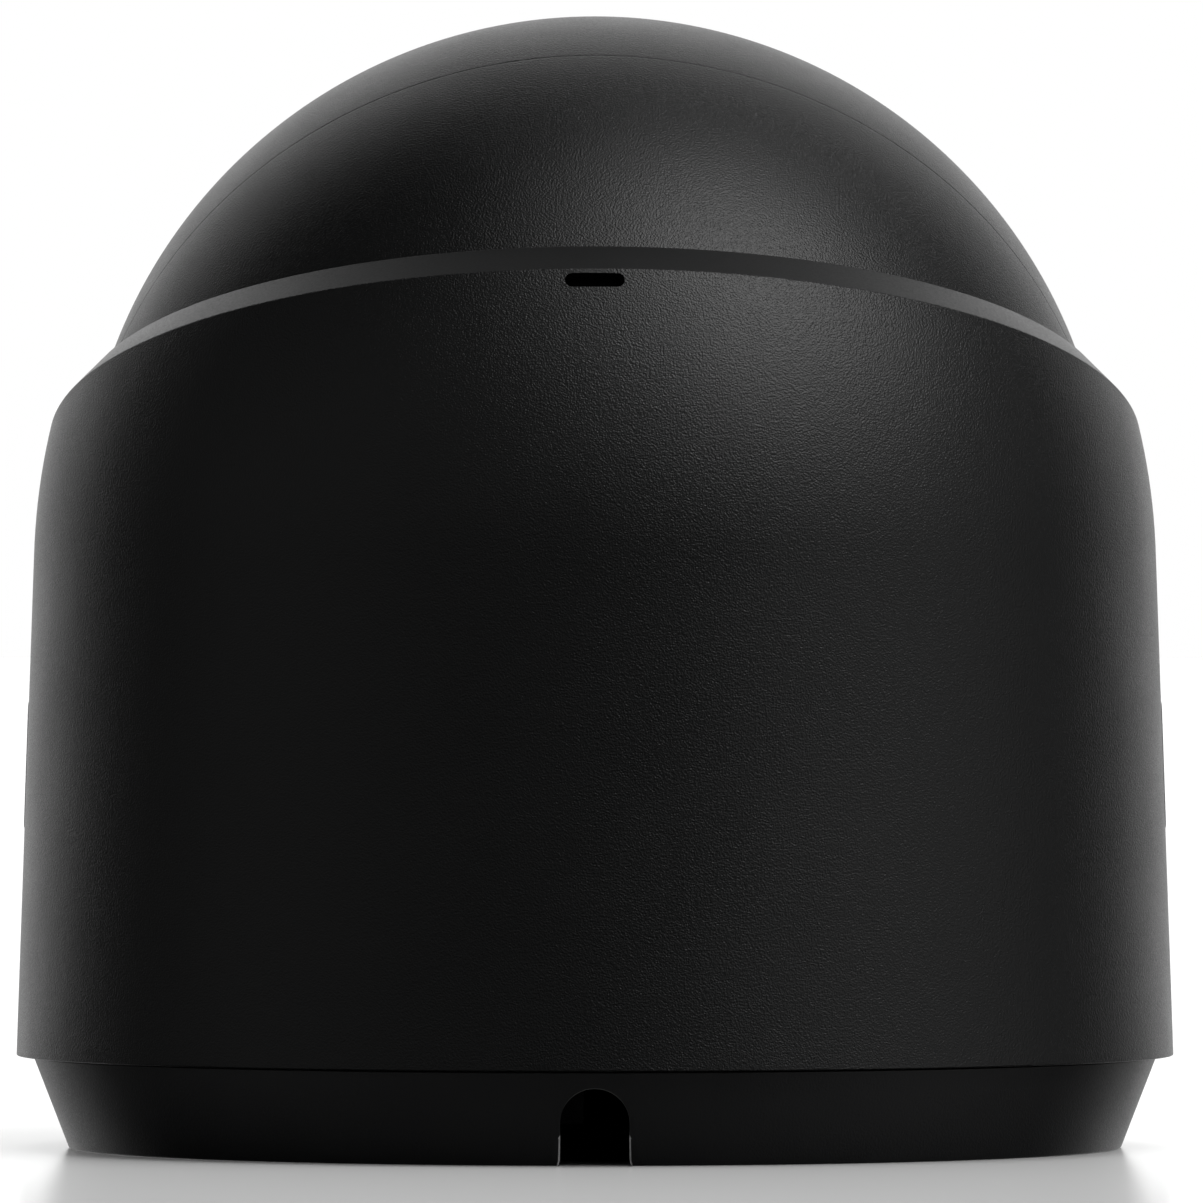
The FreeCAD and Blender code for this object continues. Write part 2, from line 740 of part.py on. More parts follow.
def heat_sink():
    plate = ring(BAFFLE_INNER + 0.2, SINK_RADIUS, HEAT_SINK_BACK, LED_BOARD_BACK)
    fins = []
    for x in (-12, -6, 0, 6, 12):
        for y in (-20, 10):
            fins.append(block(x - 0.6, x + 0.6, y, y + 10, 28.5, HEAT_SINK_BACK + 0.5))
    holes = [disc(1.42, 32, 34.85, x, y) for x, y in corners(COLUMN)]
    holes += [disc(1.1, 32, 36, x, y) for x, y in around(3, SINK_CIRCLE, 90)]
    return in_ball(cut_all(fused([plate] + fins), holes))


def heat_sink_screws():
    places = around(3, SINK_CIRCLE, 90)
    return group([in_ball(screw_up(x, y, HEAT_SINK_BACK - 1.3, 1.3, 38, 1.8, 1.0)) for x, y in places])


def led_board():
    return in_ball(ring(BAFFLE_OUTER + 0.1, 19.5, LED_BOARD_BACK, LED_BOARD_FRONT))


def infrared_leds():
    lights = []
    for x, y in around(4, LED_CIRCLE, 45):
        case = block(x - LED_HALF, x + LED_HALF, y - LED_HALF, y + LED_HALF, LED_BOARD_FRONT, 37.6)
        dome = glass(1.4, 37.0, 37.6, 0.8, False)
        dome.translate(vec(x, y, 0))
        lights.append(in_ball(fused([case, dome])))
    return group(lights)


def light_sensor():
    return in_ball(block(11.9, 13.9, -1, 1, LED_BOARD_FRONT, 37.2))


def light_baffle():
    return in_ball(ring(BAFFLE_INNER, BAFFLE_OUTER, LED_BOARD_BACK + RUNNING, WINDOW_BACK - RUNNING))


# ---- export -------------------------------------------------------------------------------------

PIECES = [
    base_plate, mounting_gasket, pan_retainer, pan_retainer_screws,
    outer_housing, side_badges, microphone, microphone_mesh, pan_ring, chassis, chassis_screws,
    lower_seat_ring, upper_glide_ring, wiper_seal, port_board, port_board_screws, network_jack,
    jack_contacts, reset_switch, harness_connector, reset_button,
    outer_harness, rear_shell, roll_ring, roll_snap_ring, grommet,
    front_shell, front_window, window_gasket, lens_barrel, front_lens, inner_lenses, lens_holder,
    filter_coil, image_sensor, sensor_board, main_board, processor, memory_chips, main_connector,
    inner_harness, rear_standoffs, front_standoffs, board_screws, heat_sink, heat_sink_screws,
    led_board, infrared_leds, light_sensor, light_baffle,
    filter_frame, filter_glasses,
]

os.makedirs("parts", exist_ok=True)
for make in PIECES:
    shape = make()
    name = make.__name__
    shape.exportStep("parts/" + name + ".step")
    print(name, len(shape.Solids), shape.isValid(), round(shape.Volume, 2))
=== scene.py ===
import math

import bmesh
import bpy
from mathutils import Matrix, Vector


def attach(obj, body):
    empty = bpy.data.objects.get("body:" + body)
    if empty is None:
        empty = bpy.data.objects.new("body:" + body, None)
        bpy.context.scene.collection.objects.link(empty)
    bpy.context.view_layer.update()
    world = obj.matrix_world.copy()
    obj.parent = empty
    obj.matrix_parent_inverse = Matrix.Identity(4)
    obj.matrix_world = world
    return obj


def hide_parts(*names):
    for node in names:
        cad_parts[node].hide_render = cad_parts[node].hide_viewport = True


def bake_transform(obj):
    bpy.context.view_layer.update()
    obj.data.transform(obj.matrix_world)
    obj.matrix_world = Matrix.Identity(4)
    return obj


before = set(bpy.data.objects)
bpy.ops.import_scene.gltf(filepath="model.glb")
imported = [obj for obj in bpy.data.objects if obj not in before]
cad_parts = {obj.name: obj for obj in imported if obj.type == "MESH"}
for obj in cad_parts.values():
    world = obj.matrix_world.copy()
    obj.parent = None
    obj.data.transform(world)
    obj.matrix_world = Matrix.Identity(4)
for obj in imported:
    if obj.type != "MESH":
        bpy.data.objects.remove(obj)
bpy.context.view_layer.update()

# Lengths are millimetres here and become metres where a mesh is made.
MM = 0.001

# ---- the camera's driving dimensions, as the CAD has them ----------------------------------------

BALL_RADIUS = 46.24
BALL_HEIGHT = 55.5
LENS_ELEVATION = 24.5
SHELL_INNER = 44.0
HOUSING_BOTTOM = 8.33
HOUSING_RADIUS = 52.03
HOUSING_DRAFT = math.radians(2.0)
SHOULDER_HEIGHT = 53.6
SHOULDER_RADIUS = 57.5
CAVITY_RADIUS = 49.93
CAVITY = ((CAVITY_RADIUS, HOUSING_BOTTOM), (CAVITY_RADIUS - 0.7, 30.0), (48.4, 37.5))   # radius, height
RIM_TILT = 16.58
RIM_RADIUS = 45.93
RIM_ABOVE_BALL = 12.07
CHAMFER_SLOPE = 0.913
SOCKET_RADIUS = math.hypot(RIM_RADIUS, RIM_ABOVE_BALL)
SLOT_WIDTH = 5.2
SLOT_HEIGHT = 1.18
SLOT_AT = 77.13
BADGE_LENGTH = 11.4
BADGE_WIDTH = 3.0
BADGE_DEPTH = 0.5
BADGE_AT = 34.4
BASE_HEIGHT = 8.23
BASE_FLOOR = 2.5
BASE_FOOT_RADIUS = 47.3
BASE_TOP_RADIUS = 50.5
HUB_RADIUS = 47.3
HUB_BORE = 44.6
HUB_HEIGHT = 12.0
CABLE_HOLE_RADIUS = 12.0
WALL_SCREW_CIRCLE = 30.0
WALL_SCREW_RADIUS = 2.25
NOTCH_HALF = 3.0
NOTCH_TOP = 6.8
WINDOW_RADIUS = 18.1
WINDOW_FACE = 41.8
WINDOW_BACK = 40.6
GASKET_BACK = 39.8
LEDGE_BACK = 38.2
LEDGE_BORE = 16.2
NOSE_FACE = 41.94
ROLL_BORE = 42.4
ROLL_LAND = 4.0
LED_BOARD_FRONT = 36.4
LED_BOARD_BACK = 35.2
LED_BOARD_BORE = 9.5
LED_BOARD_RADIUS = 19.5
LED_CIRCLE = 12.9
LED_HALF = 1.6
BAFFLE_INNER = 8.0
BAFFLE_OUTER = 9.4
LENS_BORE = 4.5
LENS_THREAD = 6.0
LENS_HEAD = 7.6
LENS_BACK = 17.0
LENS_HEAD_BACK = 34.0
LENS_HEAD_FRONT = 39.6
GROMMET_RADIUS = 4.0
RING_OUTER = SOCKET_RADIUS - 0.1
GLIDE_GAP = 0.05
GLIDE_BAND = (1.0, 8.0)     # heights above the ball's centre, along the rim's normal
WIPER_GAP = 0.07
WIPER_BAND = (8.7, 11.2)

# ---- fine detail that the CAD leaves plain ------------------------------------------------------

SEAM_HALF_GAP = 0.015       # the CAD's seam is wider, and draws too dark a line
SEAM_ROUND = 0.05
NOTCH_HIGHLIGHT_TOP = 2.65       # the notch's side edges carry a painted highlight up to here
CREST = 0.1                 # width of the eased crest of the rim
CORNER = 0.1                # and of the eased corner where the chamfer meets the wall
FOOT_ROUND = 0.14           # rounding of the housing's bottom edge
SLOT_ROUND = 0.03
NOTCH_ROUND = 0.3
ON_SURFACE = 0.003          # how near a point counts as on a surface

TURN_STEPS = 384            # facets round a large piece
SMALL_STEPS = 128           # facets round a small one
SHARP_ANGLE = math.radians(38)


def tipped(angle):
    """Place of a shape made about the ball's centre, leaning its own Z towards +Y."""
    lift = Matrix.Translation((0, 0, BALL_HEIGHT))
    return lift @ Matrix.Rotation(math.radians(-angle), 4, "X")


UPRIGHT = Matrix.Identity(4)
IN_BALL = tipped(90 - LENS_ELEVATION)
IN_RIM = tipped(RIM_TILT)

# ---- mesh helpers -------------------------------------------------------------------------------


def make_piece(name, verts, faces, body, material, nodes=(), place=UPRIGHT):
    """Mesh piece in metres, riding on a body and standing for CAD nodes."""
    mesh = bpy.data.meshes.new(name)
    mesh.from_pydata([tuple(place @ Vector(v) * MM) for v in verts], [], faces)
    mesh.validate()
    piece = bpy.data.objects.new(name, mesh)
    bpy.context.scene.collection.objects.link(piece)
    tidy_normals(mesh)
    mesh.materials.append(material)
    if body:
        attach(piece, body)
    if nodes:
        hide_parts(*nodes)
    return piece


def tidy_normals(mesh):
    work = bmesh.new()
    work.from_mesh(mesh)
    bmesh.ops.recalc_face_normals(work, faces=work.faces)
    work.to_mesh(mesh)
    work.free()
    mesh.polygons.foreach_set("use_smooth", [True] * len(mesh.polygons))
    mesh.set_sharp_from_angle(angle=SHARP_ANGLE)


def sphere_arc(radius, low, high, steps):
    """Outline points on a sphere about the axis, between two heights from its centre."""
    first = math.asin(max(-1, low / radius))
    last = math.asin(min(1, high / radius))
    angles = [first + (last - first) * i / steps for i in range(steps + 1)]
    return [(radius * math.cos(a), radius * math.sin(a)) for a in angles]


def rounded(outline, steps=5):
    """Outline whose points with a third value have their corner rounded to that radius."""
    result = []
    count = len(outline)
    for i, point in enumerate(outline):
        here = Vector(point[:2])
        if len(point) < 3:
            result.append(tuple(here))
            continue
        before = (Vector(outline[i - 1][:2]) - here).normalized()
        after = (Vector(outline[(i + 1) % count][:2]) - here).normalized()
        half = before.angle(after) / 2
        reach = point[2] / math.tan(half)
        centre = here + (before + after).normalized() * point[2] / math.sin(half)
        start = here + before * reach - centre
        turn = math.pi - 2 * half
        side = 1 if start.cross(here + after * reach - centre) > 0 else -1
        for k in range(steps + 1):
            result.append(tuple(centre + Matrix.Rotation(side * turn * k / steps, 2) @ start))
    return result


def lathe(outline, steps):
    """Vertices and faces of a closed outline of (r, z) points turned about Z."""
    verts = []
    rings = []
    for r, z in outline:
        if r < 1e-6:
            rings.append([len(verts)] * steps)
            verts.append((0, 0, z))
            continue
        rings.append(list(range(len(verts), len(verts) + steps)))
        for k in range(steps):
            a = 2 * math.pi * k / steps
            verts.append((r * math.cos(a), r * math.sin(a), z))
    faces = []
    for low, high in zip(rings, rings[1:] + rings[:1]):
        for k in range(steps):
            n = (k + 1) % steps
            corner = list(dict.fromkeys((low[k], low[n], high[n], high[k])))
            if len(corner) > 2:
                faces.append(corner)
    return verts, faces


def turned(name, outline, body, material, nodes=(), place=UPRIGHT, steps=SMALL_STEPS):
    """Closed piece of revolution. An outline that touches the axis twice is closed by it."""
    verts, faces = lathe(rounded(outline), steps)
    return make_piece(name, verts, faces, body, material, nodes, place)


def ring_outline(inner, outer, low, high, corner):
    return [(inner, low, corner), (outer, low, corner), (outer, high, corner), (inner, high, corner)]


def loft(rows, wrap_rows=False):
    """Vertices and faces of rows of equal length, each row a closed loop."""
    count = len(rows[0])
    verts = [v for row in rows for v in row]
    faces = []
    last = len(rows) if wrap_rows else len(rows) - 1
    for i in range(last):
        a = i * count
        b = ((i + 1) % len(rows)) * count
        for k in range(count):
            n = (k + 1) % count
            faces.append((a + k, a + n, b + n, b + k))
    if not wrap_rows:
        faces.append(tuple(range(count)))
        faces.append(tuple(range(last * count, (last + 1) * count)))
    return verts, faces


def cut(piece, verts, faces):
    """Takes a closed shape away from a piece."""
    mesh = bpy.data.meshes.new("cutter")
    mesh.from_pydata([tuple(Vector(v) * MM) for v in verts], [], faces)
    tidy_normals(mesh)
    cutter = bpy.data.objects.new("cutter", mesh)
    bpy.context.scene.collection.objects.link(cutter)
    step = piece.modifiers.new("cut", "BOOLEAN")
    step.operation = "DIFFERENCE"
    step.solver = "EXACT"
    step.object = cutter
    bpy.context.view_layer.update()
    graph = bpy.context.evaluated_depsgraph_get()
    result = bpy.data.meshes.new_from_object(piece.evaluated_get(graph))
    piece.modifiers.remove(step)
    old = piece.data
    piece.data = result
    bpy.data.meshes.remove(old)
    bpy.data.objects.remove(cutter)
    bpy.data.meshes.remove(mesh)
    result.polygons.foreach_set("use_smooth", [True] * len(result.polygons))
    result.set_sharp_from_angle(angle=SHARP_ANGLE)


def pill_loop(half_width, half_length, steps=24):
    """Closed loop of (across, along, normal across, normal along), round at both ends."""
    straight = half_length - half_width
    loop = []
    for end in (1, -1):
        for k in range(steps + 1):
            a = math.pi * k / steps + (0 if end > 0 else math.pi)
            across = math.cos(a)
            along = math.sin(a)
            loop.append((half_width * across, end * straight + half_width * along, across, along))
    return loop


def mouth_cutter(loop, surface, edge, depth):
    """Cutter for a hole in the back, its mouth flared by a rounded edge that follows the surface.

    loop holds (x, z, normal x, normal z), and surface(x, z) gives y on the surface.
    """
    rows = []
    outside = 3.0
    steps = 5
    stations = [(edge, -outside), (edge, -0.02)]
    for k in range(1, steps + 1):
        a = math.pi / 2 * k / steps
        stations.append((edge * (1 - math.sin(a)), edge * (1 - math.cos(a))))
    stations.append((0.0, depth))
    for spread, inward in stations:
        row = []
        for x, z, nx, nz in loop:
            row.append((x + nx * spread, surface(x, z) + inward, z + nz * spread))
        rows.append(row)
    return loft(rows)

# ---- materials ----------------------------------------------------------------------------------


class Material:
    """Node material with short calls for the nodes that every finish here is built from."""

    def __init__(self, name, colour, roughness, metallic=0.0):
        self.material = bpy.data.materials.new(name)
        self.material.use_nodes = True
        self.nodes = self.material.node_tree.nodes
        self.links = self.material.node_tree.links
        self.shader = self.nodes["Principled BSDF"]
        self.place = self.nodes.new("ShaderNodeTexCoord").outputs["Object"]
        self.shader.inputs["Base Color"].default_value = (*colour, 1)
        self.shader.inputs["Roughness"].default_value = roughness
        self.shader.inputs["Metallic"].default_value = metallic
        self.bump = None

    def link(self, source, target):
        self.links.new(source, target)

    def set(self, **values):
        for key, value in values.items():
            self.shader.inputs[key.replace("_", " ")].default_value = value

    def noise(self, size, detail=2.0, roughness=0.5, stretch=(1, 1, 1)):
        """Noise whose cells are about size millimetres."""
        mapping = self.nodes.new("ShaderNodeMapping")
        mapping.inputs["Scale"].default_value = stretch
        self.link(self.place, mapping.inputs["Vector"])
        node = self.nodes.new("ShaderNodeTexNoise")
        node.inputs["Scale"].default_value = 1 / (size * MM)
        node.inputs["Detail"].default_value = detail
        node.inputs["Roughness"].default_value = roughness
        self.link(mapping.outputs["Vector"], node.inputs["Vector"])
        return node.outputs["Fac"]

    def cells(self, size, feature="F1"):
        """Cell pattern whose cells are about size millimetres."""
        node = self.nodes.new("ShaderNodeTexVoronoi")
        node.feature = feature
        node.inputs["Scale"].default_value = 1 / (size * MM)
        self.link(self.place, node.inputs["Vector"])
        return node.outputs["Distance"]

    def ramp(self, source, low, high, start=0.0, end=1.0):
        node = self.nodes.new("ShaderNodeMapRange")
        node.inputs["From Min"].default_value = low
        node.inputs["From Max"].default_value = high
        node.inputs["To Min"].default_value = start
        node.inputs["To Max"].default_value = end
        self.link(source, node.inputs["Value"])
        return node.outputs["Result"]

    def edges(self):
        """1 on worn convex edges, 0 elsewhere."""
        node = self.nodes.new("ShaderNodeNewGeometry")
        return self.ramp(node.outputs["Pointiness"], 0.52, 0.62)

    def multiply(self, a, b):
        node = self.nodes.new("ShaderNodeMath")
        node.operation = "MULTIPLY"
        self.link(a, node.inputs[0])
        self.link(b, node.inputs[1])
        return node.outputs["Value"]

    def add(self, a, b):
        node = self.nodes.new("ShaderNodeMath")
        node.operation = "ADD"
        self.link(a, node.inputs[0])
        self.link(b, node.inputs[1])
        return node.outputs["Value"]

    def tint(self, factor, first, second):
        """Colour that runs from first to second, into the shader."""
        node = self.nodes.new("ShaderNodeMix")
        node.data_type = "RGBA"
        node.inputs["A"].default_value = (*first, 1)
        node.inputs["B"].default_value = (*second, 1)
        self.link(factor, node.inputs["Factor"])
        self.link(node.outputs["Result"], self.shader.inputs["Base Color"])

    def rough(self, factor, low, high):
        self.link(self.ramp(factor, 0, 1, low, high), self.shader.inputs["Roughness"])

    def relief(self, height, depth, strength=1.0):
        """Bump of a depth in millimetres, on top of any there is already."""
        node = self.nodes.new("ShaderNodeBump")
        node.inputs["Strength"].default_value = strength
        node.inputs["Distance"].default_value = depth * MM
        self.link(height, node.inputs["Height"])
        if self.bump is not None:
            self.link(self.bump, node.inputs["Normal"])
        self.bump = node.outputs["Normal"]
        self.link(self.bump, self.shader.inputs["Normal"])


def moulded(name, colour, roughness, grain, depth, gloss=0.5, wear=0.5):
    """Moulded plastic: spark-eroded grain, soft flow variation and rubbed edges."""
    m = Material(name, colour, roughness)
    m.set(Specular_IOR_Level=gloss)
    worn = tuple(min(1, c * (1 + 1.6 * wear) + 0.003 * wear) for c in colour)
    pale = tuple(min(1, c * 1.12 + 0.0004) for c in colour)
    cloud = m.noise(9.0, 4)
    rub = m.multiply(m.edges(), m.ramp(m.noise(1.4, 3), 0.42, 0.62))
    node = m.nodes.new("ShaderNodeMix")
    node.data_type = "RGBA"
    node.inputs["A"].default_value = (*colour, 1)
    node.inputs["B"].default_value = (*pale, 1)
    m.link(cloud, node.inputs["Factor"])
    top = m.nodes.new("ShaderNodeMix")
    top.data_type = "RGBA"
    top.inputs["B"].default_value = (*worn, 1)
    m.link(node.outputs["Result"], top.inputs["A"])
    m.link(rub, top.inputs["Factor"])
    m.link(top.outputs["Result"], m.shader.inputs["Base Color"])
    fine = m.noise(grain, 1.0, 0.5)
    spots = m.cells(grain * 1.5)
    m.rough(m.add(m.ramp(cloud, 0.3, 0.7, 0, 0.25), m.ramp(fine, 0.3, 0.7, 0, 0.75)),
            roughness - 0.08, roughness + 0.08)
    m.relief(m.noise(24.0, 2), 0.02, 0.3)
    m.relief(m.add(fine, m.ramp(spots, 0, 0.8, 0, 0.6)), depth)
    return m.material


def soft_rubber():
    m = Material("soft_rubber", (0.012, 0.012, 0.012), 0.75)
    m.tint(m.ramp(m.noise(2.5, 4), 0.4, 0.7), (0.009, 0.009, 0.009), (0.02, 0.02, 0.02))
    m.rough(m.noise(0.6, 3), 0.62, 0.86)
    m.relief(m.noise(0.18, 3), 0.012)
    return m.material


def circuit_board():
    m = Material("circuit_board", (0.01, 0.09, 0.04), 0.35)
    tracks = m.cells(1.6, "DISTANCE_TO_EDGE")
    m.tint(m.ramp(tracks, 0.06, 0.09), (0.02, 0.16, 0.07), (0.008, 0.08, 0.035))
    m.rough(m.noise(3.0, 3), 0.28, 0.42)
    m.relief(m.ramp(tracks, 0.05, 0.1), 0.02)
    return m.material


def black_board():
    m = Material("black_board", (0.006, 0.006, 0.007), 0.32)
    tracks = m.cells(1.3, "DISTANCE_TO_EDGE")
    m.tint(m.ramp(tracks, 0.06, 0.09), (0.016, 0.016, 0.018), (0.006, 0.006, 0.007))
    m.rough(m.noise(2.0, 3), 0.26, 0.4)
    m.relief(m.ramp(tracks, 0.05, 0.1), 0.015)
    return m.material


def chip():
    m = Material("chip", (0.015, 0.015, 0.016), 0.5)
    m.tint(m.noise(1.0, 3), (0.012, 0.012, 0.013), (0.025, 0.025, 0.026))
    m.rough(m.noise(0.4, 2), 0.42, 0.6)
    m.relief(m.noise(0.08, 2), 0.006)
    return m.material


def metal(name, colour, roughness, brush=(1, 1, 14)):
    """Plated or drawn metal with fine lines and brighter rubbed edges."""
    m = Material(name, colour, roughness, 1.0)
    bright = tuple(min(1, c * 1.15) for c in colour)
    lines = m.noise(0.5, 4, 0.6, brush)
    m.tint(m.add(m.multiply(lines, m.noise(4.0, 2)), m.edges()), tuple(c * 0.9 for c in colour), bright)
    m.rough(lines, roughness - 0.08, roughness + 0.1)
    m.relief(lines, 0.004)
    return m.material


def clear(name, colour, roughness, transmission, ior=1.5, coat=0.0):
    """Glass or clear plastic with faint wiping marks and dust."""
    m = Material(name, colour, roughness)
    m.set(Transmission_Weight=transmission, IOR=ior, Coat_Weight=coat)
    m.tint(m.ramp(m.noise(5.0, 3), 0.35, 0.75), colour, tuple(min(1, c * 1.2 + 0.002) for c in colour))
    m.rough(m.ramp(m.noise(0.9, 4), 0.55, 0.8), roughness, roughness + 0.05)
    m.relief(m.noise(14.0, 1), 0.004, 0.3)
    return m.material


def smoked_pane():
    """Dark window that lets light straight through, with faint wiping marks."""
    m = Material("dark_window", (0.006, 0.006, 0.007), 0.03)
    m.set(Alpha=0.3, IOR=1.49)
    m.tint(m.ramp(m.noise(5.0, 3), 0.35, 0.75), (0.005, 0.005, 0.006), (0.009, 0.009, 0.010))
    m.rough(m.ramp(m.noise(0.9, 4), 0.55, 0.8), 0.02, 0.08)
    return m.material


def coated_lens():
    """Front lens: dark glass whose coating reflects violet."""
    m = Material("coated_lens", (0.010, 0.012, 0.024), 0.02)
    m.set(Alpha=0.72, IOR=1.6, Coat_Weight=1.0, Coat_Tint=(0.62, 0.55, 1.0, 1), Specular_IOR_Level=0.8)
    m.tint(m.ramp(m.noise(3.0, 2), 0.3, 0.7), (0.008, 0.012, 0.026), (0.016, 0.010, 0.030))
    m.rough(m.noise(2.0, 3), 0.01, 0.04)
    return m.material


def woven_mesh():
    # The weave pattern is the mesh's own; its near-black colour and missing gloss are painted shade deep in
    # the slot.
    m = Material("woven_mesh", (0.001, 0.001, 0.001), 0.8)
    m.set(Specular_IOR_Level=0.02)
    weave = m.cells(0.14)
    m.tint(m.ramp(weave, 0.1, 0.5), (0.0003, 0.0003, 0.0003), (0.0012, 0.0012, 0.0012))
    m.rough(m.noise(0.3, 2), 0.7, 0.9)
    m.relief(m.ramp(weave, 0, 0.6), 0.03)
    return m.material


HOUSING = moulded("housing_plastic", (0.0019, 0.0021, 0.0022), 0.36, 0.13, 0.040, wear=0)
BALL = moulded("ball_plastic", (0.0019, 0.0021, 0.0022), 0.36, 0.13, 0.040, wear=0)
BASE = moulded("base_plastic", (0.0078, 0.0080, 0.0083), 0.42, 0.16, 0.014, gloss=0.36, wear=0)
# Painted highlight: pale grey for the notch's lower side edges, standing in for the floor's light they
# reflect.
NOTCH_HIGHLIGHT = moulded("notch_highlight_plastic", (0.30, 0.30, 0.30), 0.4, 0.3, 0.002, wear=0)
# Painted shade: near-black matt plastic for the faces inside the slot and inside the base, where shade
# falls.
PAINTED_SHADE = moulded("painted_shade_plastic", (0.0008, 0.0008, 0.0009), 0.7, 0.3, 0.006, gloss=0.02, wear=0)
CHAMFER = moulded("chamfer_plastic", (0.0042, 0.0044, 0.0046), 0.36, 0.20, 0.002, gloss=0.43, wear=0)
BADGE = moulded("badge_plastic", (0.0030, 0.0030, 0.0032), 0.42, 0.5, 0.001, gloss=0.12, wear=0)
INNER = moulded("inner_plastic", (0.004, 0.004, 0.0043), 0.55, 0.3, 0.01, gloss=0.2)
BEARING = moulded("bearing_plastic", (0.55, 0.55, 0.52), 0.35, 0.4, 0.005)
DARK_BEARING = moulded("dark_bearing_plastic", (0.012, 0.012, 0.013), 0.42, 0.3, 0.006)
BARREL = moulded("barrel_black", (0.02, 0.02, 0.021), 0.26, 0.15, 0.003)
CERAMIC = moulded("led_ceramic", (0.36, 0.35, 0.32), 0.4, 0.12, 0.004, wear=0)
RUBBER = soft_rubber()
BOARD = circuit_board()
BLACK_BOARD = black_board()
CHIP = chip()
STEEL = metal("steel", (0.55, 0.55, 0.56), 0.3)
GOLD = metal("gold", (0.85, 0.6, 0.25), 0.22)
ALUMINIUM = metal("aluminium", (0.7, 0.71, 0.73), 0.34, (14, 1, 1))
WINDOW = smoked_pane()
FRONT_LENS = coated_lens()
LENS = clear("lens_glass", (0.62, 0.72, 0.86), 0.0, 1.0, 1.6, 0.4)
FILTER = clear("filter_glass", (0.4, 0.8, 0.8), 0.02, 0.7, 1.5)
LED_LENS = clear("led_lens", (0.25, 0.06, 0.08), 0.05, 0.5, 1.5)
MESH = woven_mesh()

# ---- housing ------------------------------------------------------------------------------------

turn_radius = HOUSING_RADIUS - (SHOULDER_HEIGHT - HOUSING_BOTTOM) * math.tan(HOUSING_DRAFT)
shoulder_centre = (
    turn_radius - SHOULDER_RADIUS * math.cos(HOUSING_DRAFT),
    SHOULDER_HEIGHT - SHOULDER_RADIUS * math.sin(HOUSING_DRAFT),
)


def housing_radius(height):
    """Outer radius of the housing's wall, shoulder included."""
    if height <= SHOULDER_HEIGHT:
        return HOUSING_RADIUS - (height - HOUSING_BOTTOM) * math.tan(HOUSING_DRAFT)
    up = height - shoulder_centre[1]
    return shoulder_centre[0] + math.sqrt(SHOULDER_RADIUS ** 2 - up ** 2)


def housing_surface(x, z):
    return -math.sqrt(housing_radius(z) ** 2 - x * x)


def rim_point(angle, radius, height):
    """Point given about the rim's tilted axis."""
    return IN_RIM @ Vector((radius * math.cos(angle), radius * math.sin(angle), height))


def chamfer_reach(angle):
    """How far out from the crest the chamfer runs before it meets the wall."""
    low = 0.0
    high = 15.0
    for _ in range(40):
        middle = (low + high) / 2
        p = rim_point(angle, RIM_RADIUS + middle, RIM_ABOVE_BALL - middle / CHAMFER_SLOPE)
        if math.hypot(p.x, p.y) < housing_radius(p.z):
            low = middle
        else:
            high = middle
    return low


def housing_column(angle):
    """One upright section of the housing: up the inside, over the rim and down the outside."""
    reach = chamfer_reach(angle)
    column = []
    socket_low = 0.5
    for i in range(13):
        height = socket_low + (RIM_ABOVE_BALL - 0.7) * i / 12
        column.append(rim_point(angle, math.sqrt(SOCKET_RADIUS ** 2 - height ** 2), height))
    column.append(rim_point(angle, RIM_RADIUS + 0.01, RIM_ABOVE_BALL - 0.04))
    column.append(rim_point(angle, RIM_RADIUS + CREST * 0.5, RIM_ABOVE_BALL - 0.07))
    for i in range(9):
        out = CREST + (reach - CORNER - CREST) * i / 8
        column.append(rim_point(angle, RIM_RADIUS + out, RIM_ABOVE_BALL - out / CHAMFER_SLOPE))
    corner = rim_point(angle, RIM_RADIUS + reach, RIM_ABOVE_BALL - reach / CHAMFER_SLOPE)
    before = column[-1]
    turn = math.atan2(corner.y, corner.x)

    def on_wall(height):
        r = housing_radius(height)
        return Vector((r * math.cos(turn), r * math.sin(turn), height))

    after = on_wall(corner.z - CORNER)
    for i in range(1, 6):
        t = i / 6
        column.append(before * (1 - t) ** 2 + corner * (2 * t * (1 - t)) + after * t ** 2)
    foot = HOUSING_BOTTOM + FOOT_ROUND
    for i in range(49):
        column.append(on_wall(after.z + (foot - after.z) * i / 48))
    for i in range(1, 6):
        a = math.pi / 2 * i / 5
        r = housing_radius(foot) - FOOT_ROUND * (1 - math.cos(a))
        column.append(Vector((r * math.cos(turn), r * math.sin(turn), foot - FOOT_ROUND * math.sin(a))))
    first = column[0]
    inside = math.atan2(first.y, first.x)
    for r, z in CAVITY:
        column.append(Vector((r * math.cos(inside), r * math.sin(inside), z)))
    return column


def build_housing():
    columns = [housing_column(2 * math.pi * k / TURN_STEPS) for k in range(TURN_STEPS)]
    rows = [list(row) for row in zip(*columns)]
    verts, faces = loft(rows, wrap_rows=True)
    housing = make_piece("housing_shell", verts, faces, None, HOUSING)
    pill = [(z, x, nz, nx) for x, z, nx, nz in pill_loop(SLOT_HEIGHT / 2, SLOT_WIDTH / 2)]
    slot = [(x, z + SLOT_AT, nx, nz) for x, z, nx, nz in pill]
    cut(housing, *mouth_cutter(slot, housing_surface, SLOT_ROUND, 5.0))
    for side in (-1, 1):
        cut(housing, *badge_pocket(side))
    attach(housing, "housing")
    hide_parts("outer_housing")
    housing.data.materials.append(CHAMFER)
    housing.data.materials.append(PAINTED_SHADE)
    true_surfaces(housing.data)


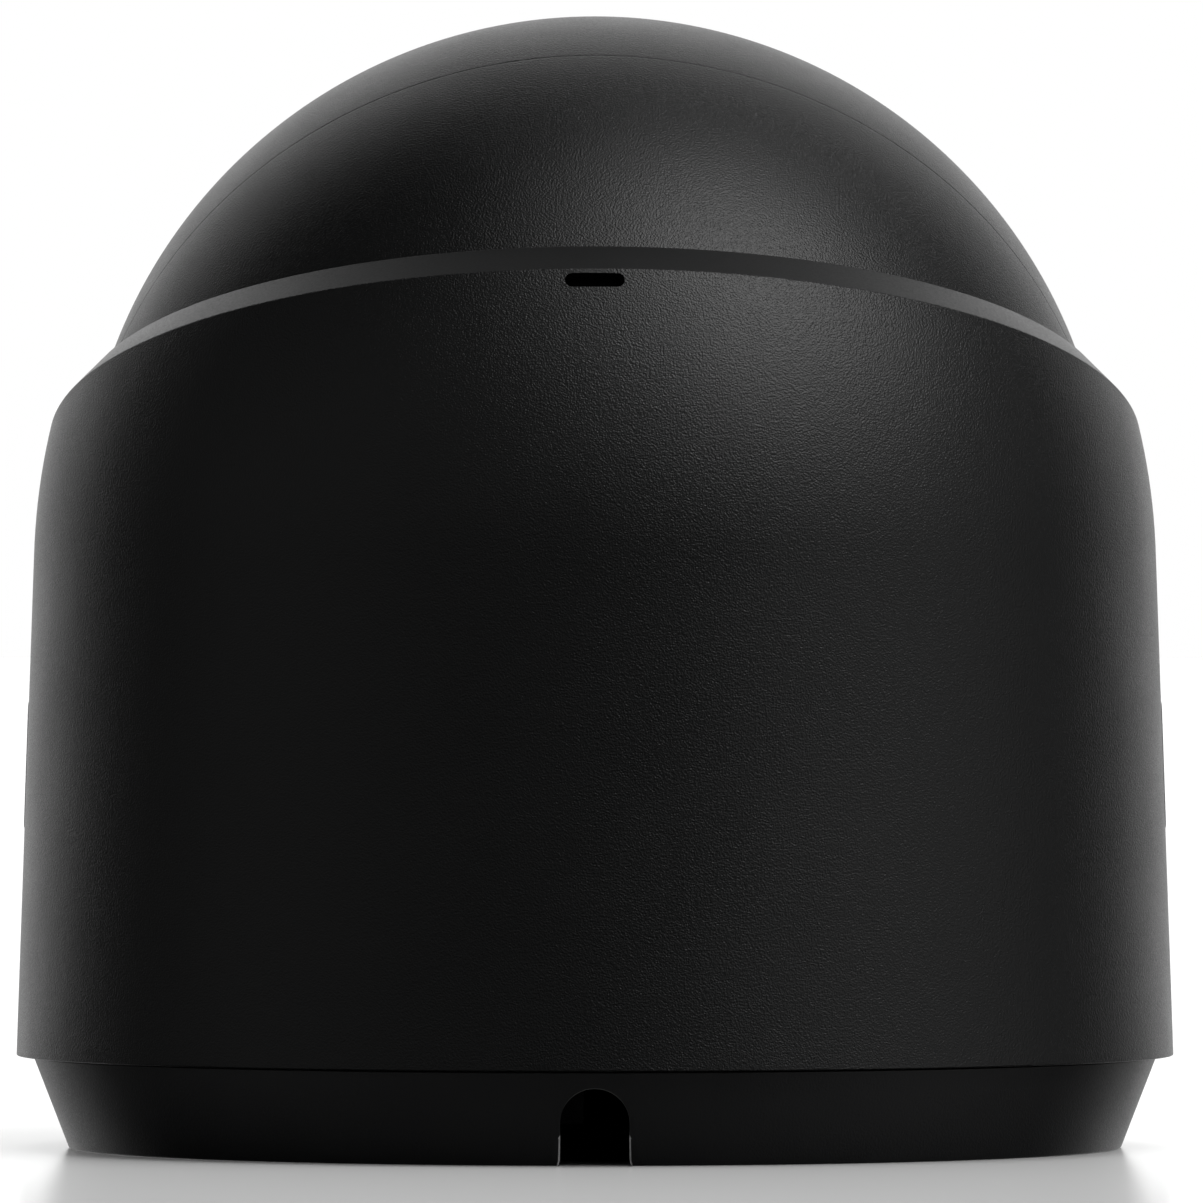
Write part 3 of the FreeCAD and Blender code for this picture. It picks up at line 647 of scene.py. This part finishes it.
def wall_normal(p):
    """Normal of the wall or shoulder at a point, or None off it."""
    r = math.hypot(p.x, p.y)
    if p.z < HOUSING_BOTTOM + 0.1 or abs(r - housing_radius(p.z)) > ON_SURFACE:
        return None
    if p.z <= SHOULDER_HEIGHT:
        out = math.cos(HOUSING_DRAFT)
        up = math.sin(HOUSING_DRAFT)
    else:
        out = (r - shoulder_centre[0]) / SHOULDER_RADIUS
        up = (p.z - shoulder_centre[1]) / SHOULDER_RADIUS
    return Vector((p.x / r * out, p.y / r * out, up))


def chamfer_normal(p):
    """Normal of the chamfer's cone at a point, or None off it."""
    q = IN_RIM.inverted() @ p
    r = math.hypot(q.x, q.y)
    if abs((RIM_ABOVE_BALL - q.z) * CHAMFER_SLOPE - (r - RIM_RADIUS)) > ON_SURFACE:
        return None
    return (IN_RIM.to_3x3() @ Vector((q.x / r, q.y / r, CHAMFER_SLOPE))).normalized()


def in_slot(p):
    """True inside the slot, below its rounded edge."""
    margin = 0.01
    across = abs(p.x) - SLOT_WIDTH / 2
    along = abs(p.z - SLOT_AT) - SLOT_HEIGHT / 2
    if p.y > 0 or across > margin or along > margin:
        return False
    return housing_radius(p.z) - math.hypot(p.x, p.y) > SLOT_ROUND + margin


def true_surfaces(mesh):
    """Exact normals on the wall and the chamfer, the chamfer's own finish, and painted shade on the faces
    inside the slot.
    """
    spots = [v.co / MM for v in mesh.vertices]
    on_wall = [wall_normal(p) for p in spots]
    on_chamfer = [chamfer_normal(p) for p in spots]
    normals = [tuple(n.vector) for n in mesh.corner_normals]
    for face in mesh.polygons:
        # Faces inside the slot get the painted shade material.
        if in_slot(face.center / MM):
            face.material_index = 2
            continue
        for index, table in enumerate((on_wall, on_chamfer)):
            found = [table[v] for v in face.vertices]
            if all(n is not None for n in found) and found[0].dot(face.normal) > 0.8:
                face.material_index = index
                for loop, n in zip(face.loop_indices, found):
                    normals[loop] = tuple(n)
    mesh.normals_split_custom_set(normals)


def badge_loops(side, grow=0.0):
    """Loops of an upright pill on the side wall, from its middle out to its edge."""
    loop = pill_loop(BADGE_WIDTH / 2 + grow, BADGE_LENGTH / 2 + grow)
    return [(across, BADGE_AT + along) for across, along, _, _ in loop]


def badge_wall(side, y, z, sink):
    return (side * (math.sqrt(housing_radius(z) ** 2 - y * y) - sink), y, z)


def badge_pocket(side):
    loop = badge_loops(side, 0.03)
    return loft([
        [badge_wall(side, y, z, -2.0) for y, z in loop],
        [badge_wall(side, y, z, BADGE_DEPTH) for y, z in loop],
    ])


def build_badges():
    proud = 0.06
    edge = 0.1
    for side, label in ((-1, "left"), (1, "right")):
        loop = badge_loops(side)
        rows = [[badge_wall(side, y, z, BADGE_DEPTH - 0.01) for y, z in loop]]
        for k in range(5):
            a = math.pi / 2 * k / 4
            small = badge_loops(side, -edge * (1 - math.cos(a)))
            rows.append([badge_wall(side, y, z, edge * (1 - math.sin(a)) - proud) for y, z in small])
        for part in (0.8, 0.55, 0.3, 0.1):
            rows.append([
                badge_wall(side, y * part, BADGE_AT + (z - BADGE_AT) * part, -proud) for y, z in loop
            ])
        verts, faces = loft(rows)
        make_piece("side_badge_" + label, verts, faces, "housing", BADGE, ["side_badges"])


build_housing()
build_badges()

# ---- mounting base ------------------------------------------------------------------------------


def base_radius(height):
    return BASE_FOOT_RADIUS + (BASE_TOP_RADIUS - BASE_FOOT_RADIUS) * height / BASE_HEIGHT


def base_surface(x, z):
    return -math.sqrt(base_radius(max(0.0, min(BASE_HEIGHT, z))) ** 2 - x * x)


def arch_loop(steps=24):
    """Loop of the cable notch: legs from below the floor, round at the top."""
    middle = NOTCH_TOP - NOTCH_HALF
    loop = []
    for k in range(steps + 1):
        a = math.pi * k / steps
        across = math.cos(a)
        up = math.sin(a)
        loop.append((NOTCH_HALF * across, middle + NOTCH_HALF * up, across * 0.15, up * 0.15))
    legs = ((2.7, 0.0, 0.15), (2.4, 0.0, 1.0), (1.2, 0.03, 1.0), (0.45, 0.06, 1.0), (0.15, 0.14, 1.2),
            (0.0, 0.26, 1.4), (-1.5, 0.26, 1.4))
    for z, spread, flare in legs:
        loop.append((-NOTCH_HALF - spread, z, -flare, 0))
    for z, spread, flare in reversed(legs):
        loop.append((NOTCH_HALF + spread, z, flare, 0))
    return loop


def upright_hole(x, y, radius, low, high):
    """Cutter for a round hole along Z."""
    rows = []
    for z in (low, high):
        angles = [2 * math.pi * k / 48 for k in range(48)]
        rows.append([(x + radius * math.cos(a), y + radius * math.sin(a), z) for a in angles])
    return loft(rows)


def build_base():
    outline = rounded([
        (CABLE_HOLE_RADIUS, 0, 0.3),
        (BASE_FOOT_RADIUS, 0, 0.3),
        (BASE_TOP_RADIUS, BASE_HEIGHT, 0.1),
        (HUB_RADIUS, BASE_HEIGHT, 0.2),
        (HUB_RADIUS, HUB_HEIGHT, 0.2),
        (HUB_BORE, HUB_HEIGHT, 0.2),
        (HUB_BORE, BASE_FLOOR, 0.5),
        (CABLE_HOLE_RADIUS, BASE_FLOOR, 0.5),
    ])
    verts, faces = lathe(outline, TURN_STEPS)
    base = make_piece("base_shell", verts, faces, None, BASE)
    cut(base, *mouth_cutter(arch_loop(), base_surface, NOTCH_ROUND, 12.0))
    for k in range(4):
        a = math.radians(45 + 90 * k)
        x = WALL_SCREW_CIRCLE * math.cos(a)
        y = WALL_SCREW_CIRCLE * math.sin(a)
        cut(base, *upright_hole(x, y, WALL_SCREW_RADIUS, -1, BASE_FLOOR + 1))
    base.data.materials.append(PAINTED_SHADE)
    base.data.materials.append(NOTCH_HIGHLIGHT)
    for face in base.data.polygons:
        p = face.center / MM
        inwards = base_radius(p.z) - math.hypot(p.x, p.y)
        beside_notch = abs(abs(p.x) - NOTCH_HALF) < NOTCH_ROUND + 0.1
        # Faces inside the base's outer surface, and those above its top, get painted shade.
        if p.z > 0.05 and (p.z > BASE_HEIGHT + 0.1 or inwards > NOTCH_ROUND + 0.05):
            face.material_index = 1
        # Painted highlight: the notch's side edges, low down, get the pale material.
        elif p.z < NOTCH_HIGHLIGHT_TOP and beside_notch and abs(face.normal.x) > 0.5:
            face.material_index = 2
    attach(base, "base")
    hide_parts("base_plate")


build_base()

# ---- ball ---------------------------------------------------------------------------------------


def build_rear_shell():
    edge = -SEAM_HALF_GAP
    start = -math.sqrt(BALL_RADIUS ** 2 - GROMMET_RADIUS ** 2)
    outline = sphere_arc(BALL_RADIUS, start, edge - 0.4, 110)
    outline += [(math.sqrt(BALL_RADIUS ** 2 - edge ** 2), edge, SEAM_ROUND)]
    outline += [(ROLL_BORE, edge, 0.2), (ROLL_BORE, -ROLL_LAND, 0.3)]
    back = -math.sqrt(SHELL_INNER ** 2 - GROMMET_RADIUS ** 2)
    outline += list(reversed(sphere_arc(SHELL_INNER, back, -ROLL_LAND, 60)))
    turned("rear_ball_shell", outline, "ball_rear", BALL, ["rear_shell"], IN_BALL,
           TURN_STEPS)


def build_front_shell():
    edge = SEAM_HALF_GAP
    outline = [(ROLL_BORE, edge, 0.2), (math.sqrt(BALL_RADIUS ** 2 - edge ** 2), edge, SEAM_ROUND)]
    outline += sphere_arc(BALL_RADIUS, edge + 0.4, NOSE_FACE - 0.4, 110)
    outline += [(math.sqrt(BALL_RADIUS ** 2 - NOSE_FACE ** 2), NOSE_FACE, 0.3)]
    outline += [(WINDOW_RADIUS + 0.1, NOSE_FACE, 0.12), (WINDOW_RADIUS + 0.1, GASKET_BACK, 0.1)]
    outline += [(LEDGE_BORE, GASKET_BACK, 0.2), (LEDGE_BORE, LEDGE_BACK, 0.2)]
    outline += list(reversed(sphere_arc(SHELL_INNER, ROLL_LAND, LEDGE_BACK, 60)))
    outline += [(ROLL_BORE, ROLL_LAND, 0.3)]
    turned("front_ball_shell", outline, "ball_front", BALL, ["front_shell"], IN_BALL,
           TURN_STEPS)


def band_outline(inner, outer, low, high, steps=8):
    outline = sphere_arc(outer, low, high, steps)
    return outline + list(reversed(sphere_arc(inner, low, high, steps)))


build_rear_shell()
build_front_shell()
turned("wiper_lip", band_outline(BALL_RADIUS + WIPER_GAP, RING_OUTER, *WIPER_BAND), "housing", RUBBER,
       ["wiper_seal"], IN_RIM, TURN_STEPS)
turned("glide_band", band_outline(BALL_RADIUS + GLIDE_GAP, RING_OUTER, *GLIDE_BAND), "housing",
       DARK_BEARING, ["upper_glide_ring"], IN_RIM, TURN_STEPS)

# ---- behind the window --------------------------------------------------------------------------


def ball_turned(name, outline, material, node, steps=SMALL_STEPS):
    turned(name, outline, "ball_front", material, [node], IN_BALL, steps)


def dome_outline(radius, low, high, bulge, steps=20):
    """Half section of a disc whose front bulges."""
    arc_radius = (radius ** 2 + bulge ** 2) / (2 * bulge)
    centre = high + bulge - arc_radius
    reach = math.asin(radius / arc_radius)
    arc = []
    for i in range(steps):
        a = reach * (1 - i / (steps - 1))
        arc.append((arc_radius * math.sin(a), centre + arc_radius * math.cos(a)))
    return [(0, low), (radius, low)] + arc


def build_window():
    pane = [(0, WINDOW_BACK), (WINDOW_RADIUS, WINDOW_BACK, 0.1)]
    pane += [(WINDOW_RADIUS, WINDOW_FACE, 0.25), (0, WINDOW_FACE)]
    ball_turned("window_pane", pane, WINDOW, "front_window", TURN_STEPS)
    seal = ring_outline(LEDGE_BORE, WINDOW_RADIUS, GASKET_BACK, WINDOW_BACK, 0.15)
    ball_turned("window_seal", seal, RUBBER, "window_gasket")


def build_lens():
    """Barrel with grooves round its thread and stepped anti-glare rings round the front lens."""
    outline = [(LENS_BORE, LENS_BACK), (LENS_THREAD, LENS_BACK, 0.3)]
    grooves = 16
    pitch = 0.95
    for i in range(grooves):
        z = 17.8 + i * pitch
        outline += [(LENS_THREAD, z), (LENS_THREAD - 0.2, z + 0.3), (LENS_THREAD, z + 0.6)]
    outline += [(LENS_THREAD, LENS_HEAD_BACK), (LENS_HEAD, LENS_HEAD_BACK, 0.3)]
    outline += [(LENS_HEAD, LENS_HEAD_FRONT, 0.35)]
    rings = 4
    ring_width = 0.25
    ring_drop = 0.35
    for i in range(rings):
        r = 7.2 - i * ring_width
        outline += [(r, LENS_HEAD_FRONT - i * ring_drop), (r, 39.25 - i * ring_drop)]
    seat = 35.4
    outline += [(6.2, 38.2), (6.2, seat), (LENS_BORE, seat)]
    ball_turned("lens_tube", outline, BARREL, "lens_barrel")
    glass = dome_outline(6.15, seat + 0.05, 37.6, 1.7)
    ball_turned("lens_front_glass", glass, FRONT_LENS, "front_lens")
    baffle = ring_outline(BAFFLE_INNER, BAFFLE_OUTER, LED_BOARD_BACK + 0.05, WINDOW_BACK - 0.05, 0.2)
    ball_turned("baffle_ring", baffle, RUBBER, "light_baffle")


def build_led_board():
    board = ring_outline(LED_BOARD_BORE, LED_BOARD_RADIUS, LED_BOARD_BACK, LED_BOARD_FRONT, 0.08)
    ball_turned("led_disc", board, BLACK_BOARD, "led_board")
    for k in range(4):
        a = math.radians(45 + 90 * k)
        there = IN_BALL @ Matrix.Translation((LED_CIRCLE * math.cos(a), LED_CIRCLE * math.sin(a), 0))
        dome = dome_outline(1.4, 37.0, 37.62, 0.8, 12)
        label = str(k + 1)
        turned("led_dome_" + label, dome, "ball_front", LED_LENS, ["infrared_leds"], there, 48)
        sections = [(LED_HALF - 0.1, LED_BOARD_FRONT), (LED_HALF, LED_BOARD_FRONT + 0.1), (LED_HALF, 37.3)]
        sections += [(LED_HALF - 0.1, 37.4), (LED_HALF - 0.25, 37.4), (LED_HALF - 0.3, 37.1)]
        case = []
        for half, z in sections:
            case.append([(x * half, y * half, z) for x, y in ((1, 1), (-1, 1), (-1, -1), (1, -1))])
        verts, faces = loft(case)
        make_piece("led_case_" + label, verts, faces, "ball_front", CERAMIC, ["infrared_leds"],
                   there)


build_window()
build_lens()
build_led_board()

# ---- flexible lead from the ball to the port board ----------------------------------------------

LEAD_RADIUS = 1.0
LEAD_RIDE = 47.45           # distance of its centre line from the ball's centre where it hugs the ball
LEAD_FOOT = (-44.2, 19.2)   # y and z where it enters its connector
HUG_LOW = 31.5              # degrees below the level of the ball's centre, at the back
HUG_HIGH = 26.5
LEAD_SHIFT = 0.6            # how far to one side it runs


def behind_ball(distance, below, across=0.0):
    """Point behind the ball, at an angle in degrees below the level of its centre."""
    a = math.radians(below)
    return Vector((across, -distance * math.cos(a), BALL_HEIGHT - distance * math.sin(a)))


def bezier(a, b, c, d, steps):
    """Points of a cubic curve, without its last one."""
    points = []
    for i in range(steps):
        t = i / steps
        u = 1 - t
        points.append(a * u ** 3 + b * (3 * u * u * t) + c * (3 * u * t * t) + d * t ** 3)
    return points


def lead_line():
    """Centre line, with close points where the tilt stretches it."""
    foot = Vector((0, *LEAD_FOOT))
    low = behind_ball(LEAD_RIDE, HUG_LOW, LEAD_SHIFT)
    high = behind_ball(LEAD_RIDE, HUG_HIGH, LEAD_SHIFT)
    mouth = behind_ball(45.8, LENS_ELEVATION)
    inside = behind_ball(43.6, LENS_ELEVATION)
    downwards = (behind_ball(LEAD_RIDE, HUG_LOW + 5, LEAD_SHIFT) - low) * 1.1
    upwards = (behind_ball(LEAD_RIDE, HUG_HIGH - 1, LEAD_SHIFT) - high) * 1.2
    line = bezier(foot, foot + Vector((0, 0, 4.5)), low + downwards, low, 24)
    stretched = 200
    for i in range(stretched):
        line.append(behind_ball(LEAD_RIDE, HUG_LOW + (HUG_HIGH - HUG_LOW) * i / stretched, LEAD_SHIFT))
    line += bezier(high, high + upwards, behind_ball(LEAD_RIDE - 0.2, LENS_ELEVATION), mouth, 16)
    return line + bezier(mouth, mouth.lerp(inside, 0.3), mouth.lerp(inside, 0.6), inside, 4) + [inside]


def build_lead():
    line = lead_line()
    side = 20
    rows = []
    for i, point in enumerate(line):
        along = (line[min(i + 1, len(line) - 1)] - line[max(i - 1, 0)]).normalized()
        across = Vector((1, 0, 0))
        across = (across - along * across.dot(along)).normalized()
        up = along.cross(across)
        angles = [2 * math.pi * k / side for k in range(side)]
        rows.append([point + (across * math.cos(a) + up * math.sin(a)) * LEAD_RADIUS for a in angles])
    verts, faces = loft(rows)
    lead = make_piece("flexible_lead", verts, faces, None, RUBBER)
    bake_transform(lead)
    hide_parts("outer_harness")


build_lead()

# ---- finishes of the pieces that keep their CAD shape ------------------------------------------

FINISHES = {
    INNER: ["chassis", "network_jack", "reset_switch", "harness_connector", "lens_holder", "main_connector",
            "filter_frame"],
    BEARING: ["pan_ring", "lower_seat_ring", "roll_ring", "reset_button"],
    RUBBER: ["mounting_gasket", "grommet", "inner_harness"],
    BOARD: ["port_board", "sensor_board", "main_board"],
    CHIP: ["processor", "memory_chips", "filter_coil", "microphone"],
    STEEL: ["pan_retainer", "pan_retainer_screws", "chassis_screws", "port_board_screws", "roll_snap_ring",
            "rear_standoffs", "front_standoffs", "board_screws", "heat_sink_screws"],
    GOLD: ["jack_contacts"],
    ALUMINIUM: ["heat_sink"],
    LENS: ["inner_lenses"],
    FILTER: ["filter_glasses", "light_sensor", "image_sensor"],
    MESH: ["microphone_mesh"],
}

for finish, names in FINISHES.items():
    for name in names:
        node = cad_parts[name]
        for place in node.material_slots:
            place.link = "OBJECT"
            place.material = finish

# ---- floor, light and camera --------------------------------------------------------------------


def flat_sheet(name, corners, material):
    mesh = bpy.data.meshes.new(name)
    mesh.from_pydata(corners, [], [tuple(range(len(corners)))])
    mesh.materials.append(material)
    sheet = bpy.data.objects.new(name, mesh)
    bpy.context.scene.collection.objects.link(sheet)
    return sheet


def build_floor():
    """White table. It isn't seen in the object's gloss, so that the underside stays dark."""
    m = Material("floor", (0.86, 0.86, 0.86), 0.16)
    m.set(Specular_IOR_Level=0.35)
    m.tint(m.noise(60.0, 2), (0.855, 0.855, 0.855), (0.87, 0.87, 0.87))
    size = 12.0
    corners = [(-size, -size, 0), (size, -size, 0), (size, size, 0), (-size, size, 0)]
    floor = flat_sheet("floor", corners, m.material)
    floor.visible_glossy = False
    lit = bpy.data.collections.new("lit_by_floor_light")
    lit.objects.link(floor)
    light = bpy.data.lights.new("floor_light", "SUN")
    light.energy = 2.1
    light.angle = math.radians(100)
    lamp = bpy.data.objects.new("floor_light", light)
    lamp.light_linking.receiver_collection = lit
    bpy.context.scene.collection.objects.link(lamp)


# Soft panels round the object: the direction that each stands in, in degrees round from +Y towards
# +X and up from the floor, the half angle it spans, that of its even middle, and its strength.
PANELS = (
    (0, 8, 54, 15, 1.1),        # white wall on the lens side
    (125, 50, 30, 0, 3.3),      # key light, high on the right
    (125, 68, 34, 0, 1.3),      # its soft edge, overhead
    (110, 5, 50, 0, 0.35),      # weak fill, low on the right
    (180, 30, 50, 0, 0.12),     # weaker still from the back
    (-110, 10, 50, 0, 0.15),    # and from the left
)


def build_world():
    """The panels light the object, and the camera itself sees plain white behind it."""
    world = bpy.data.worlds.new("studio")
    world.use_nodes = True
    tree = world.node_tree
    direction = tree.nodes.new("ShaderNodeTexCoord").outputs["Generated"]
    total = None
    for turn, up, outer, inner, strength in PANELS:
        turn = math.radians(turn)
        up = math.radians(up)
        along = tree.nodes.new("ShaderNodeVectorMath")
        along.operation = "DOT_PRODUCT"
        along.inputs[1].default_value = (
            math.sin(turn) * math.cos(up), math.cos(turn) * math.cos(up), math.sin(up)
        )
        tree.links.new(direction, along.inputs[0])
        panel = tree.nodes.new("ShaderNodeMapRange")
        panel.interpolation_type = "SMOOTHSTEP"
        panel.inputs["From Min"].default_value = math.cos(math.radians(outer))
        panel.inputs["From Max"].default_value = math.cos(math.radians(inner))
        panel.inputs["To Max"].default_value = strength
        tree.links.new(along.outputs["Value"], panel.inputs["Value"])
        if total is None:
            total = panel.outputs["Result"]
            continue
        add = tree.nodes.new("ShaderNodeMath")
        add.operation = "ADD"
        tree.links.new(total, add.inputs[0])
        tree.links.new(panel.outputs["Result"], add.inputs[1])
        total = add.outputs["Value"]
    lit = tree.nodes["Background"]
    tree.links.new(total, lit.inputs["Strength"])
    lit.inputs["Color"].default_value = (1, 1, 1, 1)
    seen = tree.nodes.new("ShaderNodeBackground")
    seen.inputs["Color"].default_value = (1, 1, 1, 1)
    mix = tree.nodes.new("ShaderNodeMixShader")
    tree.links.new(tree.nodes.new("ShaderNodeLightPath").outputs["Is Camera Ray"], mix.inputs["Fac"])
    tree.links.new(lit.outputs["Background"], mix.inputs[1])
    tree.links.new(seen.outputs["Background"], mix.inputs[2])
    tree.links.new(mix.outputs["Shader"], tree.nodes["World Output"].inputs["Surface"])
    bpy.context.scene.world = world


def build_camera():
    """Level camera with a long lens, low behind the object."""
    camera = bpy.data.cameras.new("camera")
    camera.lens = 463.8
    camera.sensor_width = 36.0
    camera.clip_start = 0.05
    camera.clip_end = 50.0
    eye = bpy.data.objects.new("camera", camera)
    shift = 0.000587            # metres, as are the next two
    distance = 1.395
    height = 0.0491
    eye.location = (shift, -distance, height)
    eye.rotation_euler = (math.radians(90), 0, 0)
    bpy.context.scene.collection.objects.link(eye)
    bpy.context.scene.camera = eye


build_floor()
build_world()
build_camera()
bpy.context.scene.view_settings.view_transform = "Standard"
bpy.context.scene.view_settings.look = "None"

bpy.context.view_layer.update()
